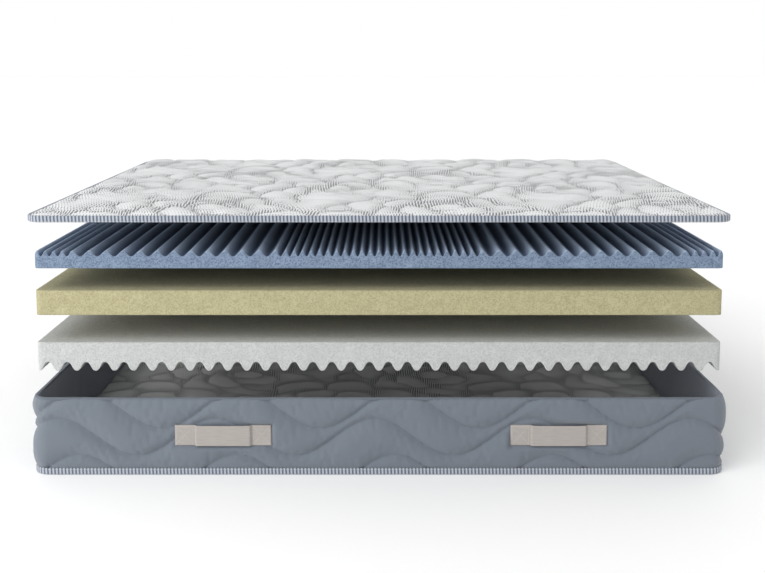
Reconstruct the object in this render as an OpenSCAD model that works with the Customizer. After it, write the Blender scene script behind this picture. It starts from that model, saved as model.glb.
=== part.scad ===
// Layered memory foam mattress: a fabric cover tray, three foam layers and a quilted top panel.
// The layers stand apart above the tray, as they do when the mattress is being made up.
// Origin at the middle of the underside, X along the length, Z up, millimetres.

/* [Overall size] */
// Length of the cover over its border fabric
cover_l = 2000; // [1400:10:2400]
// Width of the cover over its border fabric
cover_w = 1600; // [800:10:2200]
// Outer radius of the cover's upright corners
cover_corner_r = 45; // [30:1:80]

/* [Cover tray] */
// Height of the cover's rim above the ground
rim_h = 228; // [222:1:300]
// Thickness of the knitted fabric on the outside
face_t = 1.5; // [0.8:0.1:2.5]
// Thickness of the fibre wadding in the border
border_wadding_t = 5; // [3:0.5:8]
// Thickness of the lining on the inside
lining_t = 1.5; // [0.8:0.1:2.5]
// Thickness of the fibre wadding in the bottom panel
bottom_wadding_t = 17; // [8:1:30]
// Thickness of the folded binding along the rim
rim_binding_t = 0.8; // [0.5:0.1:1.5]
// Height of the binding down the outside of the rim
rim_binding_h = 8; // [4:1:15]

/* [Edge tapes] */
// Height of the striped tape round the bottom and top seams
tape_h = 20; // [12:1:30]
// Thickness of the folded tape where it stands off the border
tape_t = 4.5; // [2:0.5:6]
// Width of the stitch line that holds a tape
stitch_w = 1.2; // [0.6:0.1:2]
// How far the stitch line stands off the tape
stitch_t = 0.5; // [0.3:0.1:1]
// Distance from the tape's seam edge to its stitch line
stitch_inset = 3; // [2:0.5:5]

/* [Foam layers] */
// Gap between the foam and the cover's lining on each side
side_gap = 7; // [5:0.5:15]
// Gap between the foam and the lining across the rounded corners
corner_gap = 1.2; // [0.6:0.1:2]
// Thickness of the support layer, from its wave tips to its top
support_t = 84; // [70:1:90]
// Depth of the grooves in the support layer's underside
support_groove_d = 25; // [10:1:40]
// Spacing of the grooves in the support layer's underside
support_pitch = 54.4; // [40:0.1:80]
// Thickness of the memory foam layer
memory_t = 72; // [50:1:76]
// Thickness of the zoned layer over its ridges
zoned_t = 51; // [36:1:54]
// Depth of the grooves between the zoned layer's ridges
zoned_groove_d = 16; // [6:1:20]
// Spacing of the fine ridges, at the middle and at the ends
fine_pitch = 24.2; // [18:0.1:36]
// Spacing of the broad ridges, under the shoulders and the legs
broad_pitch = 48.4; // [40:0.1:60]
// Step from the last fine ridge to the first broad one
zone_step = 28; // [22:1:50]
// Number of fine ridges from the middle ridge to the end of the middle zone
middle_ridges = 11; // [6:1:12]
// Number of ridge steps in each broad zone
broad_steps = 12; // [4:1:12]

/* [Top panel] */
// Thickness of the lining under the top panel
panel_lining_t = 1.5; // [0.8:0.1:2.5]
// Thickness of the fibre wadding in the top panel
panel_wadding_t = 19; // [12:1:30]
// Thickness of the woven fabric on the top panel
panel_face_t = 2; // [1:0.1:3]

/* [Handles] */
// Length of a handle over its sewn ends
handle_l = 278; // [220:1:320]
// Width of the handle webbing
handle_w = 61; // [40:1:80]
// Length of each sewn end
handle_end_l = 57; // [40:1:70]
// Thickness of the handle webbing
handle_t = 2.5; // [1.5:0.1:4]
// Finger gap between the webbing and the border
handle_gap = 7; // [5:0.5:15]
// Length of the slope from a sewn end to the raised span
handle_slope = 6; // [3:0.5:12]
// Height of the middle of the handles above the ground
handle_z = 118; // [80:1:150]
// Place of the left handles along the length
handle_left_x = -449; // [-500:1:-250]
// Place of the right handles along the length
handle_right_x = 518; // [250:1:530]
// Margin from the edge of a sewn end to its box of stitches
box_stitch_inset = 6; // [4:0.5:10]
// Width of the box and cross stitches
box_stitch_w = 1.6; // [0.8:0.1:3]
// How far the box and cross stitches stand off the webbing
box_stitch_t = 0.6; // [0.3:0.1:1]

/* [Distance between the layers] */
// Gap from the tray's floor up to the support layer
support_lift = 283; // [220:1:400]
// Gap from the support layer up to the memory layer
memory_lift = 79.5; // [20:0.5:200]
// Gap from the memory layer up to the zoned layer
zoned_lift = 64; // [20:1:200]
// Gap from the zoned layer up to the top panel
panel_lift = 84; // [20:1:200]

/* [Hidden] */
wall_t = face_t + border_wadding_t + lining_t;
floor_z = face_t + bottom_wadding_t + lining_t;
wall_top_z = rim_h - rim_binding_t;
foam_inset = wall_t + side_gap;
foam_l = cover_l - 2 * foam_inset;
foam_w = cover_w - 2 * foam_inset;
// largest corner radius that still clears the tray's rounded inner corner by corner_gap
inner_corner_r = cover_corner_r - wall_t;
corner_allowance = (side_gap * sqrt(2) - corner_gap) / (sqrt(2) - 1);
foam_corner_r = max(2, inner_corner_r - corner_allowance);

support_z = floor_z + support_lift;
memory_z = support_z + support_t + memory_lift;
zoned_z = memory_z + memory_t + zoned_lift;
panel_z = zoned_z + zoned_t + panel_lift;
panel_wadding_z = panel_z + panel_lining_t;
panel_face_z = panel_wadding_z + panel_wadding_t;

groove_count = floor(foam_l / support_pitch);
wave_steps = 8;      // straight pieces in one wave of the support layer
ridge_steps = 6;     // straight pieces from one ridge top to the next
past_edge = 5;       // how far a foam profile runs on before the outline trims it
cut = 1;             // how far a cutting solid runs past the face it cuts
$fn = 96;

// ---- shared shapes ----

// Rounded outline of the cover, moved in by inset (out when it is negative)
module outline(inset) {
    r = cover_corner_r - inset;
    x = cover_l / 2 - cover_corner_r;
    y = cover_w / 2 - cover_corner_r;
    union() {
        square([2 * x, 2 * (y + r)], center = true);
        square([2 * (x + r), 2 * y], center = true);
        for (sx = [-1, 1], sy = [-1, 1]) translate([sx * x, sy * y]) circle(r);
    }
}

// Flat sheet of the cover's outline, from height z upwards
module sheet(inset, z, t) {
    translate([0, 0, z]) linear_extrude(t) outline(inset);
}

// Closed band that follows the cover's outline
module band(inset, t, z, h) {
    translate([0, 0, z]) linear_extrude(h) difference() {
        outline(inset);
        outline(inset + t);
    }
}

// Upright block of the foam layers' outline
module foam_block(z, t) {
    x = foam_l / 2 - foam_corner_r;
    y = foam_w / 2 - foam_corner_r;
    translate([0, 0, z]) linear_extrude(t) union() {
        square([foam_l, 2 * y], center = true);
        square([2 * x, foam_w], center = true);
        for (sx = [-1, 1], sy = [-1, 1]) translate([sx * x, sy * y]) circle(foam_corner_r);
    }
}

// Side profile given in X and Z, run across the full width of the foam
module across(profile) {
    rotate([90, 0, 0])
        linear_extrude(foam_w + 2 * past_edge, center = true) polygon(profile);
}

// ---- cover tray ----

module bottom_panel_face() {
    color("gainsboro") sheet(0, 0, face_t);
}

module bottom_panel_wadding() {
    color("white") sheet(wall_t, face_t, bottom_wadding_t);
}

module bottom_panel_lining() {
    color("slategray") sheet(wall_t, face_t + bottom_wadding_t, lining_t);
}

module border_face() {
    color("lightslategray") band(0, face_t, face_t, wall_top_z - face_t);
}

module border_wadding() {
    color("white") band(face_t, border_wadding_t, face_t, wall_top_z - face_t);
}

module border_lining() {
    color("dimgray") band(face_t + border_wadding_t, lining_t, face_t, wall_top_z - face_t);
}

// Binding folded over the rim: it caps the wall and runs down the outside
module rim_binding() {
    color("lightsteelblue") difference() {
        translate([0, 0, rim_h - rim_binding_h]) linear_extrude(rim_binding_h) difference() {
            outline(-rim_binding_t);
            outline(wall_t);
        }
        translate([0, 0, rim_h - rim_binding_h - cut])
            linear_extrude(rim_binding_h - rim_binding_t + cut) outline(0);
    }
}

module bottom_tape() {
    color("lightsteelblue") band(-tape_t, tape_t, 0, tape_h);
}

module bottom_tape_stitching() {
    color("white")
        band(-tape_t - stitch_t, stitch_t, tape_h - stitch_inset - stitch_w, stitch_w);
}

// ---- handles ----

// Webbing strap in plan: two flat sewn ends and a raised span between them
module strap_profile() {
    half = handle_l / 2;
    end_x = half - handle_end_l;
    span_x = end_x - handle_slope;
    polygon([
        [-half, 0], [-end_x, 0], [-span_x, handle_gap], [span_x, handle_gap], [end_x, 0], [half, 0],
        [half, handle_t], [end_x, handle_t],
        [span_x, handle_gap + handle_t], [-span_x, handle_gap + handle_t],
        [-end_x, handle_t], [-half, handle_t]
    ]);
}

// Puts a handle on the border: side is -1 for the front and 1 for the rear
module on_border(x, side) {
    translate([x, side * cover_w / 2, handle_z])
        mirror([0, side < 0 ? 1 : 0, 0]) children();
}

module handle(x, side) {
    on_border(x, side)
        translate([0, 0, -handle_w / 2]) linear_extrude(handle_w) strap_profile();
}

// Box and cross of stitches, flat in X and Y, on a sewn end of the given size
module box_and_cross() {
    l = handle_end_l - 2 * box_stitch_inset;
    w = handle_w - 2 * box_stitch_inset;
    turn = atan2(w - box_stitch_w, l - box_stitch_w);
    difference() {
        square([l, w], center = true);
        square([l - 2 * box_stitch_w, w - 2 * box_stitch_w], center = true);
    }
    intersection() {
        square([l, w], center = true);
        union() {
            rotate(turn) square([2 * handle_w, box_stitch_w], center = true);
            rotate(-turn) square([2 * handle_w, box_stitch_w], center = true);
        }
    }
}

module handle_stitching(x, side) {
    end_centre = (handle_l - handle_end_l) / 2;
    on_border(x, side)
        for (sx = [-1, 1]) translate([sx * end_centre, handle_t + box_stitch_t, 0])
            rotate([90, 0, 0]) linear_extrude(box_stitch_t) box_and_cross();
}

module front_left_handle() { color("tan") handle(handle_left_x, -1); }
module front_right_handle() { color("tan") handle(handle_right_x, -1); }
module rear_left_handle() { color("tan") handle(handle_left_x, 1); }
module rear_right_handle() { color("tan") handle(handle_right_x, 1); }
module front_left_handle_stitching() { color("linen") handle_stitching(handle_left_x, -1); }
module front_right_handle_stitching() { color("linen") handle_stitching(handle_right_x, -1); }
module rear_left_handle_stitching() { color("linen") handle_stitching(handle_left_x, 1); }
module rear_right_handle_stitching() { color("linen") handle_stitching(handle_right_x, 1); }

// ---- foam layers ----

// Height of the support layer's waved underside at a distance x from the middle groove or tip
function wave_z(x) =
    support_groove_d * (1 + cos(360 * x / support_pitch + 180 * (groove_count - 1))) / 2;

// White support layer with rounded grooves across its underside
module support_foam() {
    reach = foam_l / 2 + past_edge;
    steps = ceil(2 * reach / support_pitch * wave_steps / 2) * 2;
    step = support_pitch / wave_steps;
    underside = [for (i = [-steps / 2:steps / 2]) [i * step, support_z + wave_z(i * step)]];
    top = [[reach + step, support_z + support_t], [-reach - step, support_z + support_t]];
    color("whitesmoke") intersection() {
        foam_block(support_z, support_t);
        across(concat(underside, top));
    }
}

module memory_foam() {
    color("khaki") foam_block(memory_z, memory_t);
}

// Steps from one ridge top to the next, from the middle of the zoned layer to its end
function ridge_gaps() =
    let (
        zones_l = middle_ridges * fine_pitch + 2 * zone_step + broad_steps * broad_pitch,
        end_ridges = max(0, floor((foam_l / 2 - zones_l) / fine_pitch)) + 1
    )
    concat(
        [for (i = [1:middle_ridges]) fine_pitch], [zone_step],
        [for (i = [1:broad_steps]) broad_pitch], [zone_step],
        [for (i = [1:end_ridges]) fine_pitch]
    );

// Sum of the first n numbers of a list
function sum_first(list, n, i = 0) = i >= n ? 0 : list[i] + sum_first(list, n, i + 1);

// Blue zoned layer with fine ridges at the middle and the ends, and broad ones between
module zoned_foam() {
    gaps = ridge_gaps();
    top_z = zoned_z + zoned_t;
    half = [for (g = [0:len(gaps) - 1], s = [0:ridge_steps - 1])
        [sum_first(gaps, g) + gaps[g] * s / ridge_steps,
         top_z - zoned_groove_d * (1 - cos(360 * s / ridge_steps)) / 2]];
    last = len(half) - 1;
    end_x = half[last][0];
    ridges = concat([for (i = [last:-1:1]) [-half[i][0], half[i][1]]], half);
    color("cornflowerblue") intersection() {
        foam_block(zoned_z, zoned_t);
        across(concat(ridges, [[end_x, zoned_z], [-end_x, zoned_z]]));
    }
}

// ---- top panel ----

module top_panel_lining() {
    color("gainsboro") sheet(0, panel_z, panel_lining_t);
}

module top_panel_wadding() {
    color("white") sheet(0, panel_wadding_z, panel_wadding_t);
}

module top_panel_face() {
    color("lightgray") sheet(0, panel_face_z, panel_face_t);
}

module top_tape() {
    color("lightsteelblue") band(-tape_t, tape_t, panel_z, tape_h);
}

module top_tape_stitching() {
    color("white") band(-tape_t - stitch_t, stitch_t, panel_z + stitch_inset, stitch_w);
}

bottom_panel_face();
bottom_panel_wadding();
bottom_panel_lining();
border_face();
border_wadding();
border_lining();
rim_binding();
bottom_tape();
bottom_tape_stitching();
front_left_handle();
front_right_handle();
rear_left_handle();
rear_right_handle();
front_left_handle_stitching();
front_right_handle_stitching();
rear_left_handle_stitching();
rear_right_handle_stitching();
support_foam();
memory_foam();
zoned_foam();
top_panel_lining();
top_panel_wadding();
top_panel_face();
top_tape();
top_tape_stitching();
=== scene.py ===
import math
from functools import partial

import bmesh
import bpy
import numpy as np
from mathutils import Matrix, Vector


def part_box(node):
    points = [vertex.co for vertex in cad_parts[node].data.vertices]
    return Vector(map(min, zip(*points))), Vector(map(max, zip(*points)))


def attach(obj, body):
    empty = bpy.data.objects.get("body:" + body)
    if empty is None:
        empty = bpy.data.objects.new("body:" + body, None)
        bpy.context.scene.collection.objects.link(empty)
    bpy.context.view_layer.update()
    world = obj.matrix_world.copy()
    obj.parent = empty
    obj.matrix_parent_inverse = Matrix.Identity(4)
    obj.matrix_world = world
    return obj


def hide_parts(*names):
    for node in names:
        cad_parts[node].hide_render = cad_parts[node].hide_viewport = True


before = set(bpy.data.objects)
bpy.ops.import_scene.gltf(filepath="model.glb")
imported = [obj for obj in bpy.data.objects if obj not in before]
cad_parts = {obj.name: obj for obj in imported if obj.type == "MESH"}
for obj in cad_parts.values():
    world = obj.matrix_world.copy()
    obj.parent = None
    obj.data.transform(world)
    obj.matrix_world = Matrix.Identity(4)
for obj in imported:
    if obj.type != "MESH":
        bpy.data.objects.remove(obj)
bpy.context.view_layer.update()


def addNode(tree, kind, links=None, **settings):
    node = tree.nodes.new(kind)
    for key, value in settings.items():
        setattr(node, key, value)
    for key, value in (links or {}).items():
        if isinstance(value, bpy.types.NodeSocket):
            tree.links.new(value, node.inputs[key])
        else:
            node.inputs[key].default_value = value
    return node


def firstOutput(tree, kind, links=None, **settings):
    return addNode(tree, kind, links, **settings).outputs[0]


def calc(tree, operation, *values, clamp=False):
    return firstOutput(tree, "ShaderNodeMath", dict(enumerate(values)), operation=operation, use_clamp=clamp)


def remap(tree, value, fromLow, fromHigh, toLow=0.0, toHigh=1.0, smooth=False):
    style = "SMOOTHSTEP" if smooth else "LINEAR"
    links = {0: value, 1: fromLow, 2: fromHigh, 3: toLow, 4: toHigh}
    return firstOutput(tree, "ShaderNodeMapRange", links, interpolation_type=style)


def splitVector(tree, vector):
    return addNode(tree, "ShaderNodeSeparateXYZ", {0: vector}).outputs


def joinVector(tree, x, y, z):
    return firstOutput(tree, "ShaderNodeCombineXYZ", {0: x, 1: y, 2: z})


def newGroup(name, kind, inputs, outputs):
    tree = bpy.data.node_groups.new(name, kind)
    for way, sockets in (("INPUT", inputs), ("OUTPUT", outputs)):
        for label, socketType in sockets.items():
            tree.interface.new_socket(label, in_out=way, socket_type=socketType)
    return tree, tree.nodes.new("NodeGroupInput").outputs, tree.nodes.new("NodeGroupOutput").inputs


number = "NodeSocketFloat"
vectorSocket = "NodeSocketVector"
whole = "NodeSocketInt"
geometry = "NodeSocketGeometry"
materialSocket = "NodeSocketMaterial"


weave = {
    "warpRound": 0.6,            # lower is flatter across the thread
    "weftRound": 0.5,
    "gap": (0.05, 0.55),         # heights between which the gap's shade fades out
}


def makeWeaveGroup():
    # over and under threads: height of the cloth, and the darker gaps between threads
    inputs = {"Vector": vectorSocket, "Across": number, "Along": number}
    tree, given, result = newGroup("clothWeave", "ShaderNodeTree", inputs, {"Height": number, "Gap": number})
    op = partial(calc, tree)
    x, y, _ = splitVector(tree, given["Vector"])
    u = op("DIVIDE", x, given["Across"])
    v = op("DIVIDE", y, given["Along"])
    shift = op("MULTIPLY", op("MODULO", op("FLOOR", v), 2.0), 0.5)
    place = op("MULTIPLY", op("ADD", u, shift), math.pi)
    warp = op("POWER", op("ABSOLUTE", op("SINE", place)), weave["warpRound"])
    weft = op("ABSOLUTE", op("SINE", op("MULTIPLY", v, math.pi)))
    height = op("MULTIPLY", warp, op("POWER", weft, weave["weftRound"]))
    tree.links.new(height, result["Height"])
    tree.links.new(remap(tree, height, *weave["gap"], 1.0, 0.0), result["Gap"])
    return tree


noiseSpan = (0.3, 0.7)            # where nearly all values of a noise lie


def makeHeatherGroup():
    # uneven yarn colour, drawn out along the thread
    inputs = {"Vector": vectorSocket, "Size": number, "Stretch": number}
    tree, given, result = newGroup("yarnHeather", "ShaderNodeTree", inputs, {"Fac": number})
    x, y, z = splitVector(tree, given["Vector"])
    links = {"Vector": joinVector(tree, calc(tree, "DIVIDE", x, given["Stretch"]), y, z),
             "Scale": calc(tree, "DIVIDE", 1.0, given["Size"]), "Detail": 3.0, "Roughness": 0.7}
    tree.links.new(remap(tree, firstOutput(tree, "ShaderNodeTexNoise", links), *noiseSpan), result["Fac"])
    return tree


cells = {
    "fineScale": 1.3,            # size of the finer grain, against the cells
    "broadScale": 0.12,          # and of the mottling
    "cellShare": 0.55,
    "fineShare": 0.7,
    "pores": (0.45, 1.0),        # the speckle between these is an open pore
    "poreDepth": 0.5,
}


def makeFoamGroup():
    # open cells of cut foam: small pores, larger mottling and the height of the surface
    outputs = {"Pores": number, "Mottle": number, "Height": number}
    inputs = {"Vector": vectorSocket, "Cell": number}
    tree, given, result = newGroup("foamCells", "ShaderNodeTree", inputs, outputs)
    op = partial(calc, tree)
    place, scale = given["Vector"], op("DIVIDE", 1.0, given["Cell"])
    cellular = addNode(tree, "ShaderNodeTexVoronoi", {"Vector": place, "Scale": scale, "Randomness": 1.0})
    grain = splitVector(tree, cellular.outputs["Color"])[0]
    links = {"Vector": place, "Scale": op("MULTIPLY", scale, cells["fineScale"]), "Detail": 2.0,
             "Roughness": 0.8}
    fine = firstOutput(tree, "ShaderNodeTexNoise", links)
    links = {"Vector": place, "Scale": op("MULTIPLY", scale, cells["broadScale"]), "Detail": 2.0}
    broad = firstOutput(tree, "ShaderNodeTexNoise", links)
    speckle = op("MULTIPLY_ADD", grain, cells["cellShare"], op("MULTIPLY", fine, cells["fineShare"]))
    pores = remap(tree, speckle, *cells["pores"], smooth=True)
    tree.links.new(pores, result["Pores"])
    tree.links.new(remap(tree, broad, *noiseSpan), result["Mottle"])
    hollow = op("MULTIPLY", pores, cells["poreDepth"])
    tree.links.new(op("SUBTRACT", cellular.outputs[0], hollow), result["Height"])
    return tree


weaveGroup = makeWeaveGroup()
heatherGroup = makeHeatherGroup()
foamGroup = makeFoamGroup()


sheenRoughness = 0.6


def newMaterial(name, roughness, sheen=0.0, specular=0.3):
    material = bpy.data.materials.new(name)
    material.use_nodes = True
    tree = material.node_tree
    shader = tree.nodes["Principled BSDF"]
    shader.inputs["Roughness"].default_value = roughness
    shader.inputs["Sheen Weight"].default_value = sheen
    shader.inputs["Sheen Roughness"].default_value = sheenRoughness
    shader.inputs["Specular IOR Level"].default_value = specular
    return material, tree, shader


def linear(colour):
    # a colour given as 0 to 255, as a shader wants it
    def one(value):
        value /= 255.0
        return value / 12.92 if value <= 0.04045 else ((value + 0.055) / 1.055) ** 2.4
    return tuple(one(value) for value in colour) + (1.0,)


def placeGroup(tree, group, links):
    return addNode(tree, "ShaderNodeGroup", links, node_tree=group).outputs


def mixColour(tree, factor, first, second):
    links = {"Factor": factor, 6: first, 7: second}
    return addNode(tree, "ShaderNodeMix", links, data_type="RGBA").outputs[2]


def addBump(tree, shader, height, depth):
    bump = addNode(tree, "ShaderNodeBump", {"Height": height, "Distance": depth, "Strength": 1.0})
    tree.links.new(bump.outputs[0], shader.inputs["Normal"])


def objectPlace(tree):
    return addNode(tree, "ShaderNodeTexCoord").outputs["Object"]


def uvPlace(tree):
    return firstOutput(tree, "ShaderNodeUVMap", uv_map="cloth")


def attributeOf(tree, name):
    return addNode(tree, "ShaderNodeAttribute", attribute_name=name, attribute_type="GEOMETRY").outputs["Fac"]


clothTone = {
    "gapShade": 0.45,            # how much darker cloth is between its threads
    "roughness": 0.92,
}


def makeClothMaterial(name, light, dark, across, along, depth, sheen, size, stretch, onUv):
    material, tree, shader = newMaterial(name, clothTone["roughness"], sheen)
    light, dark = linear(light), linear(dark)
    place = uvPlace(tree) if onUv else objectPlace(tree)
    threads = placeGroup(tree, weaveGroup, {"Vector": place, "Across": across, "Along": along})
    heather = placeGroup(tree, heatherGroup, {"Vector": place, "Size": size, "Stretch": stretch})
    yarn = mixColour(tree, heather["Fac"], dark, light)
    shade = mixColour(tree, calc(tree, "MULTIPLY", threads["Gap"], clothTone["gapShade"]), yarn, dark)
    tree.links.new(shade, shader.inputs["Base Color"])
    addBump(tree, shader, threads["Height"], depth)
    return material


foamTone = {
    "surface": (0.95, 0.05, 0.2),     # roughness, sheen, specular level
    "mottle": 0.30,              # share of the dark colour in the mottling
    "pores": 0.85,               # and in the pores
    "skinPores": 0.8,            # how far the painted light and shade of the top covers its pores
}


def makeFoamMaterial(name, light, dark, cell, depth, skinLight=None, skinDark=None):
    # the two colours of the top are painted light and shade: its ridges are painted paler, and the hollows
    # between them darker, as light would fall on them
    material, tree, shader = newMaterial(name, *foamTone["surface"])
    mix = partial(mixColour, tree)
    light, dark = linear(light), linear(dark)
    foamed = placeGroup(tree, foamGroup, {"Vector": objectPlace(tree), "Cell": cell})
    if skinLight is not None:
        skin = attributeOf(tree, "skin")
        ridge = mix(attributeOf(tree, "hollow"), linear(skinLight), linear(skinDark))
        light = mix(skin, light, ridge)
        dark = mix(calc(tree, "MULTIPLY", skin, foamTone["skinPores"]), dark, ridge)
    base = mix(calc(tree, "MULTIPLY", foamed["Mottle"], foamTone["mottle"]), light, dark)
    shade = mix(calc(tree, "MULTIPLY", foamed["Pores"], foamTone["pores"]), base, dark)
    tree.links.new(shade, shader.inputs["Base Color"])
    addBump(tree, shader, foamed["Height"], depth)
    return material


stripes = {
    "surface": (0.8, 0.3),       # roughness, sheen
    "pale": (172, 178, 187),
    "blue": (88, 97, 113),
    "worn": (95, 100, 110),
    "wear": 0.18,                # share of the worn tone
    "edge": 0.25,                # softness of a stripe's edge
    "heather": 0.002,
    "relief": 0.0004,
}


def makeTapeMaterial(name):
    # stripes with soft edges, each a little uneven in tone
    material, tree, shader = newMaterial(name, *stripes["surface"])
    stripe = remap(tree, attributeOf(tree, "stripeWave"), -stripes["edge"], stripes["edge"], smooth=True)
    heather = placeGroup(tree, heatherGroup,
                         {"Vector": objectPlace(tree), "Size": stripes["heather"], "Stretch": 1.0})
    colour = mixColour(tree, stripe, linear(stripes["blue"]), linear(stripes["pale"]))
    wear = calc(tree, "MULTIPLY", heather["Fac"], stripes["wear"])
    tree.links.new(mixColour(tree, wear, colour, linear(stripes["worn"])), shader.inputs["Base Color"])
    addBump(tree, shader, heather["Fac"], stripes["relief"])
    return material


jacquardWeave = {
    "surface": (0.88, 0.25),     # roughness, sheen
    "patch": 8.0,                # scale of the uneven patches of ink
    "drift": (4.0, 0.05),        # the rows wander: scale of the wander, and how far they go
    "rowShare": 3.0,             # length of a dot against its width
    "hatchFrom": (0.5, 0.8),     # tones between which dots run together into hatching
    "barest": 0.03,              # share of ink in the palest parts
    "edge": 0.09,                # softness of a dot
    "ink": 0.85,                 # how well the ink yarn covers
    "stain": 0.06,
    "heather": (0.003, 3.0),     # size and stretch of the uneven yarn colour
    "thread": 0.0022,
    "relief": (0.4, 0.6, 0.0005),     # height of the threads, sinking of the ink, depth in metres
}


def makeJacquardMaterial(name, pale, ink, pitch, fullest, blotch):
    # woven in two yarns: the ink yarn shows as dots in the light parts and closes into hatching in the shade
    material, tree, shader = newMaterial(name, *jacquardWeave["surface"])
    op, mix = partial(calc, tree), partial(mixColour, tree)
    pale, ink = linear(pale), linear(ink)
    place = objectPlace(tree)
    x, y, _ = splitVector(tree, place)
    patches = firstOutput(tree, "ShaderNodeTexNoise",
                          {"Vector": place, "Scale": jacquardWeave["patch"], "Detail": 3.0})
    uneven = op("MULTIPLY", op("SUBTRACT", patches, 0.5), blotch)
    tone = op("ADD", attributeOf(tree, "petalTone"), uneven, clamp=True)
    driftScale, driftReach = jacquardWeave["drift"]
    drift = firstOutput(tree, "ShaderNodeTexNoise", {"Vector": place, "Scale": driftScale, "Detail": 1.0})
    across = op("MULTIPLY_ADD", drift, driftReach, x)
    dotX = op("COSINE", op("MULTIPLY", across, 2 * math.pi / pitch))
    dotY = op("COSINE", op("MULTIPLY", y, 2 * math.pi / (jacquardWeave["rowShare"] * pitch)))
    dots = op("MULTIPLY_ADD", op("MULTIPLY", dotX, dotY), 0.5, 0.5)
    hatch = op("MULTIPLY_ADD", dotX, 0.5, 0.5)
    closing = remap(tree, tone, *jacquardWeave["hatchFrom"])
    pattern = firstOutput(tree, "ShaderNodeMix", {0: closing, 2: dots, 3: hatch})
    level = remap(tree, tone, 0.0, 1.0, jacquardWeave["barest"], fullest)
    edge = jacquardWeave["edge"]
    inked = remap(tree, op("SUBTRACT", level, pattern), -edge, edge, smooth=True)
    size, stretch = jacquardWeave["heather"]
    heather = placeGroup(tree, heatherGroup, {"Vector": place, "Size": size, "Stretch": stretch})
    shaded = mix(op("MULTIPLY", inked, jacquardWeave["ink"]), pale, ink)
    soft = mix(op("MULTIPLY", heather["Fac"], jacquardWeave["stain"]), shaded, ink)
    tree.links.new(soft, shader.inputs["Base Color"])
    thread = jacquardWeave["thread"]
    threads = placeGroup(tree, weaveGroup, {"Vector": place, "Across": thread, "Along": thread})
    raised, sunk, depth = jacquardWeave["relief"]
    height = op("SUBTRACT", op("MULTIPLY", threads["Height"], raised), op("MULTIPLY", inked, sunk))
    addBump(tree, shader, height, depth)
    return material


looks = {
    # light and dark yarn, width of a thread across and along, depth of the weave, sheen,
    # size and stretch of the uneven yarn colour, and whether it follows the piece's uv
    makeClothMaterial: {
        "borderKnit": ((113, 120, 129), (94, 102, 112), 0.0030, 0.0030, 0.00025, 0.25, 0.0012, 2.5, True),
        # the lining is painted paler than the border's knit, as painted light in the shaded tray
        "borderLining": ((146, 151, 163), (126, 131, 142), 0.002, 0.002, 0.0003, 0.2, 0.0015, 3.0, True),
        "bindingCloth": ((104, 111, 120), (86, 94, 104), 0.0018, 0.0018, 0.0003, 0.2, 0.0015, 3.0, True),
        "bottomCloth": ((186, 189, 194), (150, 154, 160), 0.003, 0.003, 0.0004, 0.2, 0.004, 1.0, False),
        "backingCloth": ((206, 206, 204), (182, 183, 184), 0.0035, 0.0035, 0.0003, 0.2, 0.004, 1.5, False),
        "webbing": ((177, 171, 167), (154, 148, 143), 0.0042, 0.0030, 0.0006, 0.15, 0.0012, 40.0, True),
        "paleThread": ((214, 214, 212), (184, 184, 184), 0.0008, 0.0008, 0.0002, 0.2, 0.004, 1.0, False),
        "greyThread": ((104, 112, 123), (88, 95, 106), 0.0008, 0.0008, 0.0002, 0.2, 0.004, 1.0, False),
        "strapThread": ((214, 206, 199), (190, 182, 174), 0.0008, 0.0008, 0.0002, 0.2, 0.004, 1.0, False),
    },
    makeTapeMaterial: {"edgeTape": ()},
    # light and dark tone, size of a cell, depth, and the painted light on the top's ridges and the painted
    # shade in its hollows
    makeFoamMaterial: {
        "supportFoam": ((192, 194, 193), (166, 168, 167), 0.0031, 0.0010),
        "memoryFoam": ((180, 174, 139), (149, 143, 109), 0.0033, 0.0010),
        "zonedFoam": ((130, 147, 168), (82, 98, 121), 0.0034, 0.0010, (176, 194, 218), (66, 82, 110)),
    },
    # pale and ink yarn, spacing of the dots, most ink, unevenness of the ink
    makeJacquardMaterial: {
        "jacquard": ((219, 220, 221), (72, 74, 80), 0.0084, 0.70, 0.55),
        # the floor is the top's jacquard with painted light and shade: paler yarn and darker, fuller,
        # blotchier ink than the top, for the shaded tray
        "floorJacquard": ((248, 249, 246), (34, 36, 40), 0.0084, 0.75, 1.1),
    },
}
finishes = {name: make(name, *values) for make, named in looks.items() for name, values in named.items()}
print("materials", len(finishes))


def newObject(name, mesh):
    piece = bpy.data.objects.new(name, mesh)
    bpy.context.scene.collection.objects.link(piece)
    return piece


def gridObject(name, points, material, wrapRows=False, wrapColumns=False, uv=None, flip=False):
    # points is rows x columns x 3; uv gives one u for each column edge and one v for each row edge
    rows, columns, _ = points.shape
    rowEnd = rows if wrapRows else rows - 1
    columnEnd = columns if wrapColumns else columns - 1
    r, c = np.meshgrid(np.arange(rowEnd), np.arange(columnEnd), indexing="ij")
    first, second = r * columns, (r + 1) % rows * columns
    c2 = (c + 1) % columns
    corners = np.stack([first + c, first + c2, second + c2, second + c], -1).reshape(-1, 4)
    if flip:
        corners = corners[:, ::-1]
    mesh = meshFrom(name, points.reshape(-1, 3), corners, material)
    if uv is not None:
        u, v = uv
        uGrid = np.stack([u[c], u[c + 1], u[c + 1], u[c]], -1).reshape(-1, 4)
        vGrid = np.stack([v[r], v[r], v[r + 1], v[r + 1]], -1).reshape(-1, 4)
        if flip:
            uGrid, vGrid = uGrid[:, ::-1], vGrid[:, ::-1]
        layer = mesh.uv_layers.new(name="cloth")
        layer.data.foreach_set("uv", np.stack([uGrid.ravel(), vGrid.ravel()], -1).ravel().astype(np.float32))
    return newObject(name, mesh)


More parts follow.
